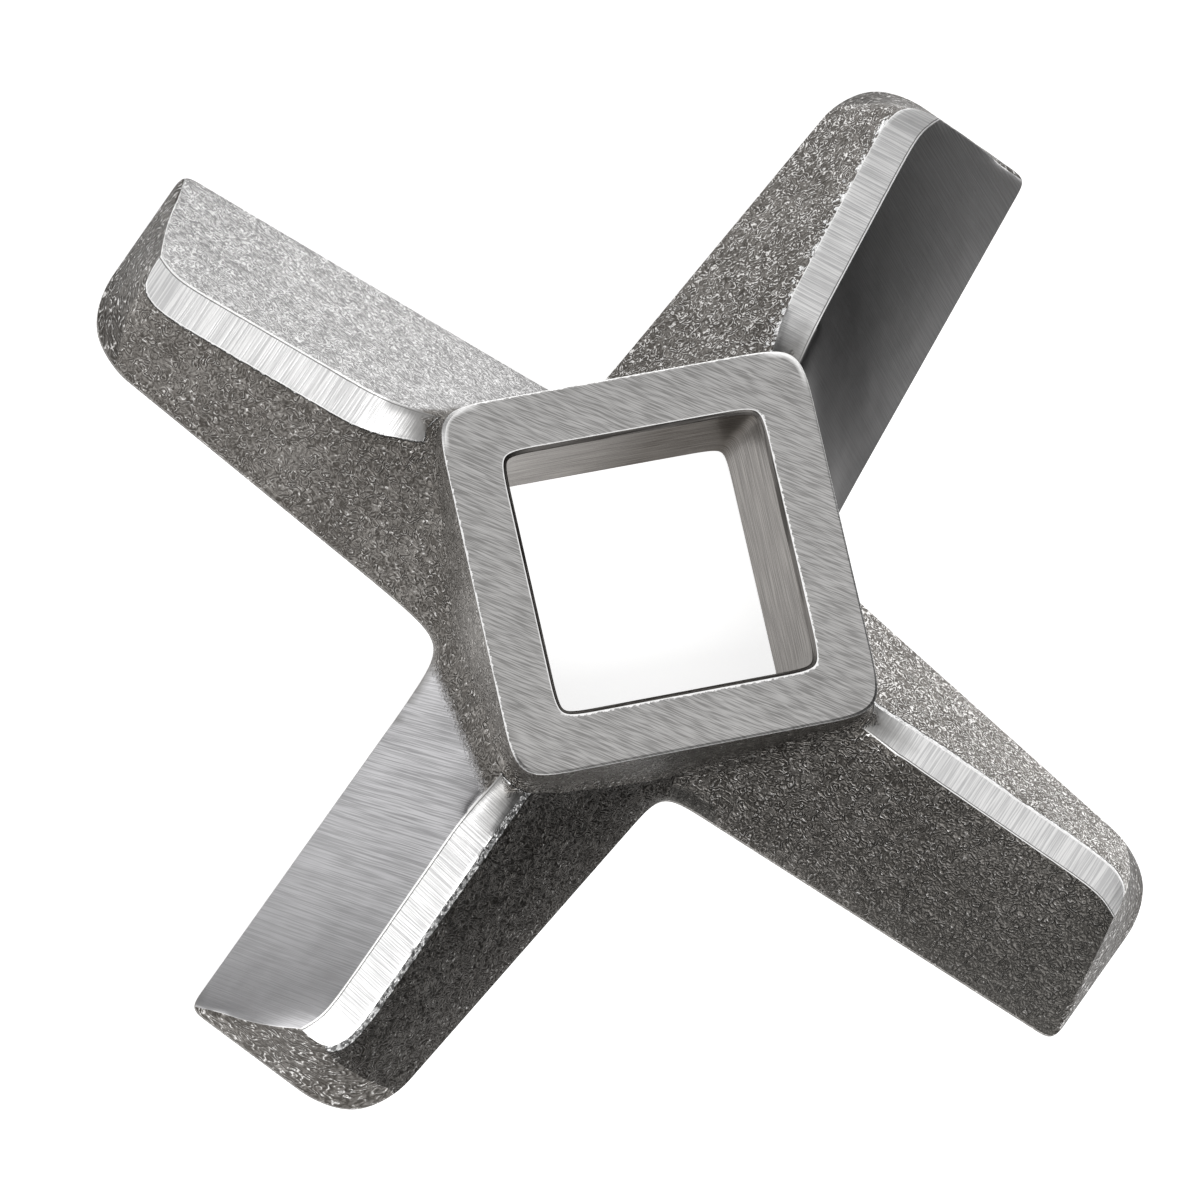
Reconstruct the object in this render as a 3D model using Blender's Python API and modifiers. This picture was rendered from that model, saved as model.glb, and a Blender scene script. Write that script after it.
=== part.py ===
"""Meat grinder knife: a square hub with a square bore and four wings, cast in one piece and ground.

Metres, +Z up. The knife lies on its flat cutting face at height 0, and the hub's axis is the Z axis.
"""

import math
from dataclasses import dataclass

import bmesh
import bpy
from mathutils import Vector

# Hub: a square boss around the bore that the drive shaft turns
HUB_SIDE = 0.0186
HUB_HEIGHT = 0.0082
HUB_CORNER_RADIUS = 0.0016
HUB_EDGE_BREAK = 0.00012
BORE_SIDE = 0.0129
BORE_CORNER_RADIUS = 0.0006
BORE_EDGE_BREAK = 0.0002

# Wing outline on the cutting face, from its centre line, at the hub's corner and at the end face
WING_REACH = 0.02985
LEADING_ROOT = 0.0061
LEADING_TIP = 0.0051
TRAILING_ROOT = 0.0065
TRAILING_TIP = 0.0050
CUTTING_LAND = 0.00035
ROUND_CORNER = 0.0029
SQUARE_CORNER = 0.0011

# Crest: the ground strip along the top of a wing, whose inner edge is its highest line
CREST_ROOT_HEIGHT = 0.0061
CREST_TIP_HEIGHT = 0.0042
CREST_ROOT = 0.0001
CREST_TIP = -0.0009
STRIP_WIDTH = 0.00175
STRIP_DROP = 0.00065
END_FACE_LEAN = 0.0015
STRIP_END_RUN = 0.0012
STRIP_END_FLARE = 0.0006
STRIP_END_ROUNDING = 0.0008

# Blends between the hub's walls and the wings
ROOT_FILLET = 0.0019
NOTCH_FLARE = 0.0004
NOTCH_RISE = 0.0008
NOTCH_FILLET = 0.0022
FILLET_LIMIT = 0.6

# Shares of a flank's width, from crest to cutting edge, where its two lengthwise rows run
UPPER_ROW = 0.34
LOWER_ROW = 0.72

# Where those rows arrive on the end face's foot, as shares of its straight run
END_FOOT = {"back_upper": 0.0, "crest_outer": 0.2, "crest_inner": 0.42, "upper": 0.74, "lower": 1.0}

# The smoothing rounds a corner of the cage, which is cut at these shares of the corner's radius
WALL_CORNER_CUT = 0.56
OUTLINE_CORNER_CUT = 0.95
ROUND_CORNER_CUT = 0.25

# Cage lines before the end face, in square corner radii, that keep a flank straight up to its corner
CORNER_RUN = 2.4

# How much of an edge's sharpness the smoothing keeps
LAND_CREASE = 0.75
END_FACE_CREASE = 0.85
ROOT_CREASE = 0.4

SMOOTHING_LEVELS = 2
FLATNESS_ANGLE = 0.15
SHADING_ANGLE = 24.0

METAL_COLOUR = (0.46, 0.45, 0.44, 1.0)
METAL_ROUGHNESS = 0.38


def mix(first, second, share):
    return first + (second - first) * share


@dataclass
class Wing:
    """One wing in its own frame.

    "Out" is the distance from the hub's axis and "side" the distance from the wing's centre line,
    positive clockwise as seen from above. The cast wings are not quite a quarter turn apart, which
    is each one's swing in degrees. The leading edge and the crest were ground by hand, so each
    wing has its own offsets from the nominal lines, at the hub and at the end face.
    """

    direction: float
    swing: float
    edge_offset: tuple
    crest_offset: tuple

    def axes(self):
        angle = math.radians(self.direction - self.swing)
        along = Vector((math.cos(angle), math.sin(angle), 0.0))
        across = Vector((math.sin(angle), -math.cos(angle), 0.0))
        return along, across

    def place(self, out, side, height):
        """Point of the knife at these wing coordinates."""
        along, across = self.axes()
        return along * out + across * side + Vector((0.0, 0.0, height))

    def read(self, point):
        """Out and side of a point of the knife."""
        along, across = self.axes()
        return point.dot(along), point.dot(across)

    def edge(self, out, leading):
        """Side of the leading or the trailing edge on the cutting face."""
        if leading:
            root = LEADING_ROOT + self.edge_offset[0]
            tip = LEADING_TIP + self.edge_offset[1]
            return mix(root, tip, length_share(out))
        return -mix(TRAILING_ROOT, TRAILING_TIP, length_share(out))

    def crest(self, out):
        """Side and height of the crest's inner edge."""
        root = CREST_ROOT + self.crest_offset[0]
        tip = CREST_TIP + self.crest_offset[1]
        height = mix(CREST_ROOT_HEIGHT, CREST_TIP_HEIGHT, length_share(out))
        return mix(root, tip, length_share(out)), height

    def outer_crest(self, out):
        """Side and height of the crest's outer edge, across the ground strip."""
        side, height = self.crest(out)
        return side - STRIP_WIDTH, height - STRIP_DROP

    def flank(self, out, share, leading):
        """Side and height on a flank: share 0 is the crest, 1 the top of the cutting edge's land."""
        top_side, top_height = self.crest(out) if leading else self.outer_crest(out)
        return mix(top_side, self.edge(out, leading), share), mix(top_height, CUTTING_LAND, share)


WINGS = (
    Wing(direction=135.0, swing=0.6, edge_offset=(0.0, -0.0001), crest_offset=(-0.0004, -0.0001)),
    Wing(direction=45.0, swing=1.0, edge_offset=(0.0, -0.0002), crest_offset=(0.0001, -0.0004)),
    Wing(direction=-45.0, swing=3.3, edge_offset=(0.0004, 0.0001), crest_offset=(0.0, -0.0003)),
    Wing(direction=-135.0, swing=3.2, edge_offset=(-0.0005, 0.0002), crest_offset=(0.0003, 0.0008)),
)


# The hub's corner, which every wing grows from
ROOT_OUT = HUB_SIDE / math.sqrt(2.0)


def length_share(out):
    """Share of a wing's length, 0 at the hub's corner and 1 at the end face."""
    return (out - ROOT_OUT) / (WING_REACH - ROOT_OUT)


def wall_point(corner, share, side):
    """Point on a square's outline, at this share of the way clockwise from a corner (0 is upper left)."""
    point = Vector((-side / 2.0 + share * side, side / 2.0))
    angle = math.radians(-90.0 * corner)
    x = point.x * math.cos(angle) - point.y * math.sin(angle)
    y = point.x * math.sin(angle) + point.y * math.cos(angle)
    return Vector((x, y, 0.0))


def column_shares(side, corner_radius):
    """Shares of a square's side, from one corner to the next, at which the cage's columns run."""
    corner = WALL_CORNER_CUT * corner_radius / side
    return {
        "crest_inner": corner,
        "upper": 0.17,
        "lower": 0.35,
        "notch": 0.5,
        "back_lower": 0.65,
        "back_upper": 0.83,
        "crest_outer": 1.0 - corner,
    }


# Columns of the cage up the hub's wall, where the wings' rows meet it
COLUMNS = column_shares(HUB_SIDE, HUB_CORNER_RADIUS)

# Rows along a wing, from the clockwise cutting edge over the crest to the other one
ROWS = ("edge", "lower", "upper", "crest_inner", "crest_outer", "back_upper", "back_lower", "back_edge")
ROW_SHARES = {"edge": 1.0, "lower": LOWER_ROW, "upper": UPPER_ROW, "crest_inner": 0.0}


def row_share(row):
    """Share of the flank's width at which a row runs."""
    return ROW_SHARES[row.replace("back_", "").replace("crest_outer", "crest_inner")]


def is_leading(row):
    """Whether a row belongs to the leading flank."""
    return row in ROW_SHARES


def column_key(corner, column):
    """Columns beyond the notch belong to the next wing."""
    if column in ("back_lower", "back_upper", "crest_outer"):
        return (corner + 1) % 4, column
    return corner, column


def row_foot(wing, row, wall):
    """Point where a row's flank would meet the hub's wall without a fillet."""
    out, side = wing.read(wall)
    crest_side, crest_height = wing.crest(out) if is_leading(row) else wing.outer_crest(out)
    if row.startswith("crest"):
        return wall + Vector((0.0, 0.0, crest_height))
    share = min(1.0, (side - crest_side) / (wing.edge(out, is_leading(row)) - crest_side))
    return wall + Vector((0.0, 0.0, mix(crest_height, CUTTING_LAND, share)))


def notch_point(corner):
    """Point where the cutting edges of two neighbouring wings meet, kept outside the hub's wall."""
    wing = WINGS[corner]
    following = WINGS[(corner + 1) % 4]
    near = wing.place(ROOT_OUT, wing.edge(ROOT_OUT, True), 0.0)
    along = (wing.place(WING_REACH, wing.edge(WING_REACH, True), 0.0) - near).normalized()
    other = following.place(ROOT_OUT, following.edge(ROOT_OUT, False), 0.0)
    other_end = following.place(WING_REACH, following.edge(WING_REACH, False), 0.0)
    other_along = (other_end - other).normalized()
    cross = along.x * other_along.y - along.y * other_along.x
    gap = other - near
    travel = (gap.x * other_along.y - gap.y * other_along.x) / cross
    meeting = near + along * travel
    outward = wall_point(corner, 0.5, 1.0).normalized()
    flare = meeting.dot(outward) - HUB_SIDE / 2.0
    return meeting + outward * max(0.0, NOTCH_FLARE - flare) + Vector((0.0, 0.0, CUTTING_LAND))


def row_end(row):
    """Out at which a row reaches the end face's edge."""
    share = row_share(row)
    lean = END_FACE_LEAN * (1.0 - share)
    if is_leading(row) or row == "crest_outer":
        return WING_REACH - lean
    return WING_REACH - lean - OUTLINE_CORNER_CUT * ROUND_CORNER * share


def row_point(wing, row, out):
    """Point of a row at this out, with the strip's flare and rounded corner at the end face."""
    side, height = wing.flank(out, row_share(row), is_leading(row))
    nearness = max(0.0, 1.0 - (row_end(row) - out) / STRIP_END_RUN)
    if row == "crest_inner":
        side += STRIP_END_FLARE * nearness
    if row == "crest_outer":
        side += STRIP_END_ROUNDING * nearness
    return wing.place(out, side, height)


def wing_rows(corner, notch_before, notch_after, feet):
    """Cage points of one wing: a list of points from the hub to the end face for each row."""
    wing = WINGS[corner]
    rows = {}
    for row in ROWS:
        if row in ("edge", "back_edge"):
            start = notch_after if row == "edge" else notch_before
            root_out = wing.read(start)[0]
            points = [start]
        else:
            root_out = wing.read(feet[row])[0] + ROOT_FILLET * math.sqrt(2.0)
            points = [feet[row], row_point(wing, row, root_out)]
        end = row_end(row)
        first = root_out + NOTCH_FILLET
        last = end - CORNER_RUN * SQUARE_CORNER
        for out in (first, mix(first, last, 0.5), last, end - OUTLINE_CORNER_CUT * SQUARE_CORNER, end):
            points.append(row_point(wing, row, out))
        rows[row] = points
    return rows


def end_foot(wing, row):
    """Point on the land below a row's end, along the foot of the end face."""
    trailing = wing.edge(WING_REACH, False)
    if row == "back_lower":
        cut = ROUND_CORNER_CUT * ROUND_CORNER
        return wing.place(WING_REACH - cut, trailing + cut, CUTTING_LAND)
    first = trailing + OUTLINE_CORNER_CUT * ROUND_CORNER
    last = wing.edge(WING_REACH, True) - OUTLINE_CORNER_CUT * SQUARE_CORNER
    return wing.place(WING_REACH, mix(first, last, END_FOOT[row]), CUTTING_LAND)


class Cage:
    """Coarse quad cage of the knife, with creases where the real edges are crisp."""

    def __init__(self):
        self.bm = bmesh.new()
        self.crease = self.bm.edges.layers.float.new("crease_edge")
        self.found = {}

    def vert(self, point):
        """Vertex at a point, made once."""
        key = tuple(round(value * 1e7) for value in point)
        if key not in self.found:
            self.found[key] = self.bm.verts.new(point)
        return self.found[key]

    def face(self, *points):
        verts = []
        for point in points:
            vert = self.vert(point)
            if vert not in verts:
                verts.append(vert)
        self.bm.faces.new(verts)

    def band(self, first, second):
        """Faces between two rows of points of equal length."""
        for index in range(len(first) - 1):
            self.face(first[index], first[index + 1], second[index + 1], second[index])

    def sharpen(self, points, amount):
        """Crease the edges along a row of points."""
        for start, end in zip(points, points[1:]):
            edge = self.bm.edges.get((self.vert(start), self.vert(end)))
            edge[self.crease] = amount


def at_height(point, height):
    return Vector((point.x, point.y, height))


def ring(side, corner_radius, height):
    """Cage points round a square of this side, in the order of the hub's columns."""
    points = []
    for corner in range(4):
        for share in column_shares(side, corner_radius).values():
            points.append(at_height(wall_point(corner, share, side), height))
    points.append(points[0])
    return points


def hub_feet():
    """Feet of all columns on the hub's walls, each the start of a wing's row."""
    feet = {}
    for corner in range(4):
        for column, share in COLUMNS.items():
            wall = wall_point(corner, share, HUB_SIDE)
            if column == "notch":
                feet[corner, column] = at_height(wall, CUTTING_LAND + NOTCH_RISE)
            else:
                owner, row = column_key(corner, column)
                feet[owner, row] = row_foot(WINGS[owner], row, wall)
    return feet


def build_hub(cage, feet):
    """Walls, broken edges, top face and bore."""
    wall_top = HUB_HEIGHT - HUB_EDGE_BREAK
    mouth_side = BORE_SIDE + 2.0 * BORE_EDGE_BREAK
    mouth_radius = BORE_CORNER_RADIUS + BORE_EDGE_BREAK
    foot_ring = []
    for corner in range(4):
        for column in COLUMNS:
            foot_ring.append(feet[column_key(corner, column)])
    foot_ring.append(foot_ring[0])
    blend_ring = []
    for foot in foot_ring:
        rise = min(ROOT_FILLET, FILLET_LIMIT * (wall_top - foot.z))
        blend_ring.append(at_height(foot, foot.z + rise))
    rings = [
        foot_ring,
        blend_ring,
        ring(HUB_SIDE, HUB_CORNER_RADIUS, wall_top),
        ring(HUB_SIDE - 2.0 * HUB_EDGE_BREAK, HUB_CORNER_RADIUS, HUB_HEIGHT),
        ring(mouth_side, mouth_radius, HUB_HEIGHT),
        ring(BORE_SIDE, BORE_CORNER_RADIUS, HUB_HEIGHT - BORE_EDGE_BREAK),
        ring(BORE_SIDE, BORE_CORNER_RADIUS, BORE_EDGE_BREAK),
        ring(mouth_side, mouth_radius, 0.0),
    ]
    for lower, upper in zip(rings, rings[1:]):
        cage.band(upper, lower)
    for edge_ring in rings[2:7]:
        cage.sharpen(edge_ring, 1.0)


def build_wing(cage, corner, notches, feet):
    """Flanks, ground crest, end face and the upright land of the cutting edges."""
    wing = WINGS[corner]
    row_feet = {}
    for row in ROWS[1:7]:
        row_feet[row] = feet[corner, row]
    rows = wing_rows(corner, notches[corner - 1], notches[corner], row_feet)
    for row, following in zip(ROWS, ROWS[1:]):
        first = rows[row]
        second = rows[following]
        if row == "edge":
            cage.face(feet[corner, "notch"], first[0], second[1], second[0])
            second = second[1:]
        if following == "back_edge":
            cage.face(first[0], first[1], second[0], feet[(corner - 1) % 4, "notch"])
            first = first[1:]
        cage.band(first, second)

    ends = [rows[row][-1] for row in ROWS]
    foot_line = [ends[0]]
    for row in ROWS[1:7]:
        foot_line.append(end_foot(wing, row))
    foot_line.append(ends[7])
    cage.band(ends, foot_line)

    outline = rows["edge"][:-1] + foot_line + rows["back_edge"][-2::-1]
    cage.band(outline, [at_height(point, 0.0) for point in outline])

    cage.sharpen(outline, LAND_CREASE)
    cage.sharpen(ends[1:5], END_FACE_CREASE)
    for row in ("crest_inner", "crest_outer"):
        cage.sharpen(rows[row][:2], ROOT_CREASE)
        cage.sharpen(rows[row][1:], 1.0)


def smooth_cage(cage, name):
    """Object holding the cage, smoothed, as a plain mesh."""
    bmesh.ops.recalc_face_normals(cage.bm, faces=cage.bm.faces)
    mesh = bpy.data.meshes.new(name)
    cage.bm.to_mesh(mesh)
    cage.bm.free()
    source = bpy.data.objects.new(name, mesh)
    bpy.context.scene.collection.objects.link(source)
    smoothing = source.modifiers.new("smoothing", "SUBSURF")
    smoothing.levels = SMOOTHING_LEVELS
    smoothing.render_levels = SMOOTHING_LEVELS
    smoothing.boundary_smooth = "ALL"
    smoothing.use_limit_surface = False
    depsgraph = bpy.context.evaluated_depsgraph_get()
    smoothed = bpy.data.meshes.new_from_object(source.evaluated_get(depsgraph))
    bpy.data.objects.remove(source)
    return smoothed


def close_cutting_face(mesh):
    """Fill the flat cutting face between the outline and the bore."""
    bm = bmesh.new()
    bm.from_mesh(mesh)
    rim = [edge for edge in bm.edges if edge.is_boundary]
    bmesh.ops.triangle_fill(bm, use_beauty=True, use_dissolve=False, edges=rim, normal=(0.0, 0.0, -1.0))
    bmesh.ops.recalc_face_normals(bm, faces=bm.faces)
    bm.to_mesh(mesh)
    bm.free()


def metal():
    material = bpy.data.materials.new("ground_cast_steel")
    material.use_nodes = True
    shader = material.node_tree.nodes["Principled BSDF"]
    shader.inputs["Base Color"].default_value = METAL_COLOUR
    shader.inputs["Metallic"].default_value = 1.0
    shader.inputs["Roughness"].default_value = METAL_ROUGHNESS
    return material


def build():
    for item in list(bpy.data.objects):
        bpy.data.objects.remove(item)
    collection = bpy.data.collections.new("meat_grinder_knife")
    bpy.context.scene.collection.children.link(collection)

    cage = Cage()
    feet = hub_feet()
    notches = [notch_point(corner) for corner in range(4)]
    build_hub(cage, feet)
    for corner in range(4):
        build_wing(cage, corner, notches, feet)
    mesh = smooth_cage(cage, "grinder_knife")
    close_cutting_face(mesh)

    knife = bpy.data.objects.new("grinder_knife", mesh)
    collection.objects.link(knife)
    mesh.materials.append(metal())
    flats = knife.modifiers.new("merge_flats", "DECIMATE")
    flats.decimate_type = "DISSOLVE"
    flats.angle_limit = math.radians(FLATNESS_ANGLE)
    mesh.shade_smooth()
    mesh.set_sharp_from_angle(angle=math.radians(SHADING_ANGLE))
    shading = knife.modifiers.new("level_shading", "WEIGHTED_NORMAL")
    shading.keep_sharp = True


build()
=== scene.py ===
import math

import bmesh
import bpy
from mathutils import Matrix, Vector, kdtree, noise


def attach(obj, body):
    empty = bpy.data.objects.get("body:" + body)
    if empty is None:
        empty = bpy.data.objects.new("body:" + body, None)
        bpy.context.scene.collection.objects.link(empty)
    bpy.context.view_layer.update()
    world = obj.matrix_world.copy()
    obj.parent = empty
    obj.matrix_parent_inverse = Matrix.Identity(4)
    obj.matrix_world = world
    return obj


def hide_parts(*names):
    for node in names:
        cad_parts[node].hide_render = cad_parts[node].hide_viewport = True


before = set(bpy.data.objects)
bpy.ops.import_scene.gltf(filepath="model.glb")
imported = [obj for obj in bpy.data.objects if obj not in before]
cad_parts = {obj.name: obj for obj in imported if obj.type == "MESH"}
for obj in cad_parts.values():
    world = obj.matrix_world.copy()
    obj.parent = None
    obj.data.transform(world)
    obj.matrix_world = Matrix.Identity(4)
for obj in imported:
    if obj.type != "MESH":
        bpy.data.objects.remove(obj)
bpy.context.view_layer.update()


# The hub is a square boss of cast steel round the square bore that the drive shaft turns.
# Its wall is as cast, with rounded corners, and its top face and bore are machined.
# The cage starts as the foot of that wall, where the wings' blends begin.

HUB_SIDE = 0.0186
HUB_HEIGHT = 0.0082
HUB_CORNER = 0.0016
HUB_EDGE_BREAK = 0.00012
BORE_SIDE = 0.0129
BORE_CORNER = 0.0006
BORE_EDGE_BREAK = 0.0002
LAND = 0.00035
BLEND = 0.0019
NOTCH_RISE = 0.0008

# Places of the finishes in the knife's list of materials: the cast ones first, then the ground ones
CAST, SPECKLED, LIT_CAST, SHADED_CAST, WRINKLED, LIT_END, DARK_CAST = range(7)
SANDED, GROUND, BRUSHED, CREST, FACE, BORE, LAPPED = range(7, 14)

SHARES_ROUND = {
    "crest_inner": 0.0,
    "upper": 0.17,
    "lower": 0.35,
    "notch": 0.5,
    "back_lower": 0.65,
    "back_upper": 0.83,
    "crest_outer": 1.0,
}
WALL = [(corner, column) for corner in range(4) for column in SHARES_ROUND]

cage = bmesh.new()
crease = cage.edges.layers.float.new("crease_edge")
lay_of = cage.faces.layers.float.new("lay")


def mix(first, second, share):
    return first + (second - first) * share


def at_height(point, height):
    return Vector((point.x, point.y, height))


def wall_point(corner, column, side, radius, height):
    """Point on a square's outline, clockwise from one of its corners (0 is the upper left one)."""
    cut = 0.56 * radius / side
    share = min(max(SHARES_ROUND[column], cut), 1.0 - cut)
    point = Vector((-side / 2.0 + share * side, side / 2.0, height))
    turn = math.radians(-90.0 * corner)
    x = point.x * math.cos(turn) - point.y * math.sin(turn)
    y = point.x * math.sin(turn) + point.y * math.cos(turn)
    return Vector((x, y, height))


def grow(chain, places, finishes, lays=(0.0,), closed=False):
    """Extrudes a chain of the cage's vertices to new places, and gives the new chain."""
    ends = chain[1:] + chain[:1] if closed else chain[1:]
    edges = [cage.edges.get(pair) for pair in zip(chain, ends)]
    made = bmesh.ops.extrude_edge_only(cage, edges=edges)["geom"]
    fresh = {item for item in made if isinstance(item, bmesh.types.BMVert)}
    grown = []
    for vert, point in zip(chain, places):
        twin = [edge.other_vert(vert) for edge in vert.link_edges if edge.other_vert(vert) in fresh][0]
        twin.co = point
        grown.append(twin)
    ends = grown[1:] + grown[:1] if closed else grown[1:]
    for index, pair in enumerate(zip(grown, ends)):
        face = cage.edges.get(pair).link_faces[0]
        face.material_index = finishes[index % len(finishes)]
        face[lay_of] = lays[index % len(lays)]
    return grown


def sharpen(chain, amount, closed=False):
    """Creases the edges along a chain."""
    ends = chain[1:] + chain[:1] if closed else chain[1:]
    for pair in zip(chain, ends):
        cage.edges.get(pair)[crease] = amount


# The four wings are cast with the hub, not quite a quarter turn apart, and thin out towards their
# ends. Each has a leading flank and a narrow strip along its crest that were ground by hand, and a
# trailing flank and an end face that are as cast. Out, side and height are a wing's own directions.

REACH = 0.02985
LEADING = (0.0061, 0.0051)
TRAILING = (-0.0065, -0.0050)
CREST_SIDE = (0.0001, -0.0009)
CREST_HEIGHT = (0.0061, 0.0042)
STRIP_WIDTH = 0.00175
STRIP_DROP = 0.00065
STRIP_END_RUN = 0.0012
STRIP_END_FLARE = 0.0006
STRIP_END_ROUNDING = 0.0008
END_LEAN = 0.0015
ROUND_CORNER = 0.0029
SQUARE_CORNER = 0.0011
NOTCH_FLARE = 0.0004
NOTCH_BLEND = 0.0022
ROOT = HUB_SIDE / math.sqrt(2.0)

# One wing a line: direction, swing, then the leading edge's and the crest's own offsets, at hub and end
WINGS = (
    (135.0, 0.6, (0.0, -0.0001), (-0.0004, -0.0001)),
    (45.0, 1.0, (0.0, -0.0002), (0.0001, -0.0004)),
    (-45.0, 3.3, (0.0004, 0.0001), (0.0, -0.0003)),
    (-135.0, 3.2, (-0.0005, 0.0002), (0.0003, 0.0008)),
)
# C's and D's trailing flanks, C's leading flank and D's end take lighter and darker copies of the cast skin: painted
# light and painted shade.
FLANK_FINISH = (SANDED, GROUND, DARK_CAST, BRUSHED)
BACK_FINISH = (CAST, SPECKLED, LIT_CAST, SHADED_CAST)
END_FINISH = (WRINKLED, WRINKLED, WRINKLED, LIT_END)

ROWS = ("edge", "lower", "upper", "crest_inner", "crest_outer", "back_upper", "back_lower", "back_edge")
SHARES = {"edge": 1.0, "lower": 0.72, "upper": 0.34, "crest_inner": 0.0, "crest_outer": 0.0}
END_FOOT = {"back_upper": 0.0, "crest_outer": 0.2, "crest_inner": 0.42, "upper": 0.74, "lower": 1.0}
LEADING_ROWS = ROWS[:4]


def axes(wing):
    angle = math.radians(WINGS[wing][0] - WINGS[wing][1])
    return Vector((math.cos(angle), math.sin(angle), 0.0)), Vector((math.sin(angle), -math.cos(angle), 0.0))


def place(wing, out, side, height):
    along, across = axes(wing)
    return along * out + across * side + Vector((0.0, 0.0, height))


def lay_of_wing(wing):
    """Angle of the direction straight across a wing, which the grinding marks are laid from."""
    across = axes(wing)[1]
    return math.atan2(across.y, across.x)


def line(pair, offsets, out):
    """Value at this out of a line that is given at the hub's corner and at the wing's end."""
    share = (out - ROOT) / (REACH - ROOT)
    return mix(pair[0] + offsets[0], pair[1] + offsets[1], share)


def edge_side(wing, row, out):
    if row in LEADING_ROWS:
        return line(LEADING, WINGS[wing][2], out)
    return line(TRAILING, (0.0, 0.0), out)


def crest_of(wing, row, out):
    """Side and height of the crest's edge that a row belongs to."""
    side = line(CREST_SIDE, WINGS[wing][3], out)
    height = line(CREST_HEIGHT, (0.0, 0.0), out)
    if row in LEADING_ROWS:
        return side, height
    return side - STRIP_WIDTH, height - STRIP_DROP


def share_of(row):
    return SHARES[row.replace("back_", "")]


def row_end(row):
    """Out at which a row reaches the end face."""
    end = REACH - END_LEAN * (1.0 - share_of(row))
    if row.startswith("back"):
        end -= 0.95 * ROUND_CORNER * share_of(row)
    return end


def row_point(wing, row, out):
    side, height = crest_of(wing, row, out)
    side = mix(side, edge_side(wing, row, out), share_of(row))
    nearness = max(0.0, 1.0 - (row_end(row) - out) / STRIP_END_RUN)
    if row == "crest_inner":
        side += STRIP_END_FLARE * nearness
    if row == "crest_outer":
        side += STRIP_END_ROUNDING * nearness
    return place(wing, out, side, mix(height, LAND, share_of(row)))


def end_foot(wing, row):
    trailing = edge_side(wing, "back_edge", REACH)
    if row == "back_lower":
        return place(wing, REACH - 0.25 * ROUND_CORNER, trailing + 0.25 * ROUND_CORNER, LAND)
    first = trailing + 0.95 * ROUND_CORNER
    last = edge_side(wing, "edge", REACH) - 0.95 * SQUARE_CORNER
    return place(wing, REACH, mix(first, last, END_FOOT[row]), LAND)


def owner_of(corner, column):
    """The wing that a column of the hub's wall runs out to: past the notch it is the next one."""
    return (corner + 1) % 4 if column in ("back_lower", "back_upper", "crest_outer") else corner


def foot(corner, column):
    """Where a row's flank would meet the hub's wall without a blend."""
    wall = wall_point(corner, column, HUB_SIDE, HUB_CORNER, 0.0)
    if column == "notch":
        return at_height(wall, LAND + NOTCH_RISE)
    wing = owner_of(corner, column)
    along, across = axes(wing)
    side, height = crest_of(wing, column, wall.dot(along))
    if not column.startswith("crest"):
        share = min(1.0, (wall.dot(across) - side) / (edge_side(wing, column, wall.dot(along)) - side))
        height = mix(height, LAND, share)
    return at_height(wall, height)


def notch(corner):
    """Where the edges of two neighbouring wings meet, kept outside the hub's wall."""
    lines = []
    for wing, row in ((corner, "edge"), ((corner + 1) % 4, "back_edge")):
        near = place(wing, ROOT, edge_side(wing, row, ROOT), LAND)
        lines.append((near, (place(wing, REACH, edge_side(wing, row, REACH), LAND) - near).normalized()))
    (near, along), (other, other_along) = lines
    gap = other - near
    travel = gap.cross(other_along).z / along.cross(other_along).z
    meeting = near + along * travel
    outward = wall_point(corner, "notch", 1.0, 0.0, 0.0).normalized()
    flare = meeting.dot(outward) - HUB_SIDE / 2.0
    return meeting + outward * max(0.0, NOTCH_FLARE - flare)


# The knife grows ring by ring from the foot of the hub's wall: up the wall and down the bore, then
# out over the wings, and last the upright land of the cutting edges down to the flat cutting face.

feet = [foot(*spot) for spot in WALL]
foot_ring = [cage.verts.new(point) for point in feet]
for start, end in zip(foot_ring, foot_ring[1:] + foot_ring[:1]):
    cage.edges.new((start, end))

wall_top = HUB_HEIGHT - HUB_EDGE_BREAK
mouth_side = BORE_SIDE + 2.0 * BORE_EDGE_BREAK
mouth_corner = BORE_CORNER + BORE_EDGE_BREAK
rises = [at_height(point, point.z + min(BLEND, 0.6 * (wall_top - point.z))) for point in feet]
ring = grow(foot_ring, rises, [CAST], closed=True)
for side, radius, height, finish in (
    (HUB_SIDE, HUB_CORNER, wall_top, CAST),
    (HUB_SIDE - 2.0 * HUB_EDGE_BREAK, HUB_CORNER, HUB_HEIGHT, FACE),
    (mouth_side, mouth_corner, HUB_HEIGHT, FACE),
    (BORE_SIDE, BORE_CORNER, HUB_HEIGHT - BORE_EDGE_BREAK, BORE),
    (BORE_SIDE, BORE_CORNER, BORE_EDGE_BREAK, BORE),
    (mouth_side, mouth_corner, 0.0, BORE),
):
    ring = grow(ring, [wall_point(*spot, side, radius, height) for spot in WALL], [finish], closed=True)
    if height > 0.0:
        sharpen(ring, 1.0, closed=True)

skirt = []
skirt_finishes = []
skirt_lays = []
for corner, column in WALL:
    wing = owner_of(corner, column)
    if column == "notch":
        skirt.append(notch(corner))
    else:
        out = foot(corner, column).dot(axes(wing)[0]) + BLEND * math.sqrt(2.0)
        skirt.append(row_point(wing, column, out))
    leads = column in ("crest_inner", "upper", "lower")
    behind = CREST if column == "crest_outer" else BACK_FINISH[(corner + 1) % 4]
    skirt_finishes.append(FLANK_FINISH[corner] if leads else behind)
    skirt_lays.append(lay_of_wing(corner if leads else (corner + 1) % 4))
skirt = grow(foot_ring, skirt, skirt_finishes, skirt_lays, closed=True)

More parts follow.
